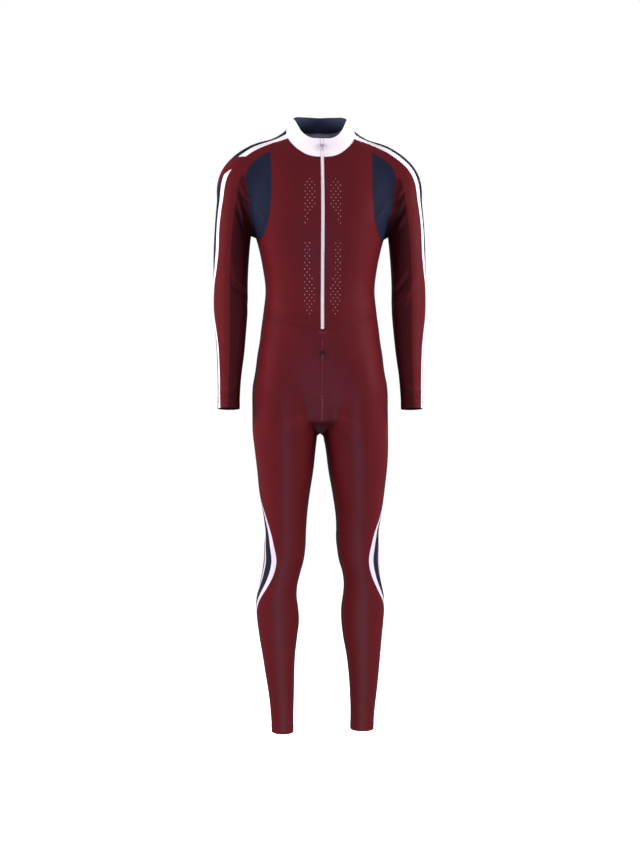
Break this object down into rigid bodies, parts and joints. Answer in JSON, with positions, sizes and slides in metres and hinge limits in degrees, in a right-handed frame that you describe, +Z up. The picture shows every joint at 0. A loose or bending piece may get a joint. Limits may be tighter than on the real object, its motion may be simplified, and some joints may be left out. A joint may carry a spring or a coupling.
{
  "type": "race suit",
  "caption": "Close-fitting one-piece ski race suit, filled out: stand collar with a half-length front zip, raglan sleeves and full-length legs with side stripes.",
  "frame": {"origin": "middle of the body at the height of the neck seam's sides, where the shoulders of a wearer hold the suit", "axes": "+Z up, the zip faces -Y, +X towards the wearer's left sleeve"},
  "size_m": [0.5304, 0.2332, 1.546],
  "materials": {
    "maroon_cloth": "semi-gloss stretch jersey",
    "navy_cloth": "semi-gloss stretch jersey",
    "striped_cloth": "semi-gloss stretch jersey, navy between white edges",
    "white_cloth": "semi-gloss stretch jersey",
    "navy_facing": "matt jersey",
    "white_tape": "woven tape over a coil",
    "pale_slider": "satin",
    "dark_slider": "satin",
    "dark_pull": "gloss",
    "pale_pull": "gloss"
  },
  "bodies": {
    "suit": {"back": "maroon_cloth", "chest_panel_left": "navy_cloth", "chest_panel_right": "navy_cloth", "collar": "white_cloth", "collar_facing": "navy_facing", "fly_slider": "dark_slider", "front_left": "maroon_cloth", "front_right": "maroon_cloth", "leg_back_left": "maroon_cloth", "leg_back_right": "maroon_cloth", "leg_front_left": "maroon_cloth", "leg_front_right": "maroon_cloth", "leg_stripe_left": "striped_cloth", "leg_stripe_right": "striped_cloth", "sleeve_back_left": "maroon_cloth", "sleeve_back_right": "maroon_cloth", "sleeve_front_left": "maroon_cloth", "sleeve_front_right": "maroon_cloth", "sleeve_stripe_left": "striped_cloth", "sleeve_stripe_right": "striped_cloth", "under_sleeve_aft_left": "maroon_cloth", "under_sleeve_aft_right": "maroon_cloth", "under_sleeve_fore_left": "maroon_cloth", "under_sleeve_fore_right": "maroon_cloth", "zip_slider": "pale_slider", "zip_tape": "white_tape"},
    "zip_tab": {"zip_pull": "pale_pull"},
    "fly_tab": {"fly_pull": "dark_pull"}
  },
  "joints": [
    {"name": "zip_tab_hinge", "type": "hinge", "parent": "suit", "child": "zip_tab", "pos_m": [0, -0.08254, -0.04055], "axis": [-1, 0, 0], "range_deg": [0, 150]},
    {"name": "fly_tab_hinge", "type": "hinge", "parent": "suit", "child": "fly_tab", "pos_m": [0, -0.10245, -0.54816], "axis": [-1, 0, 0], "range_deg": [0, 150]}
  ]
}
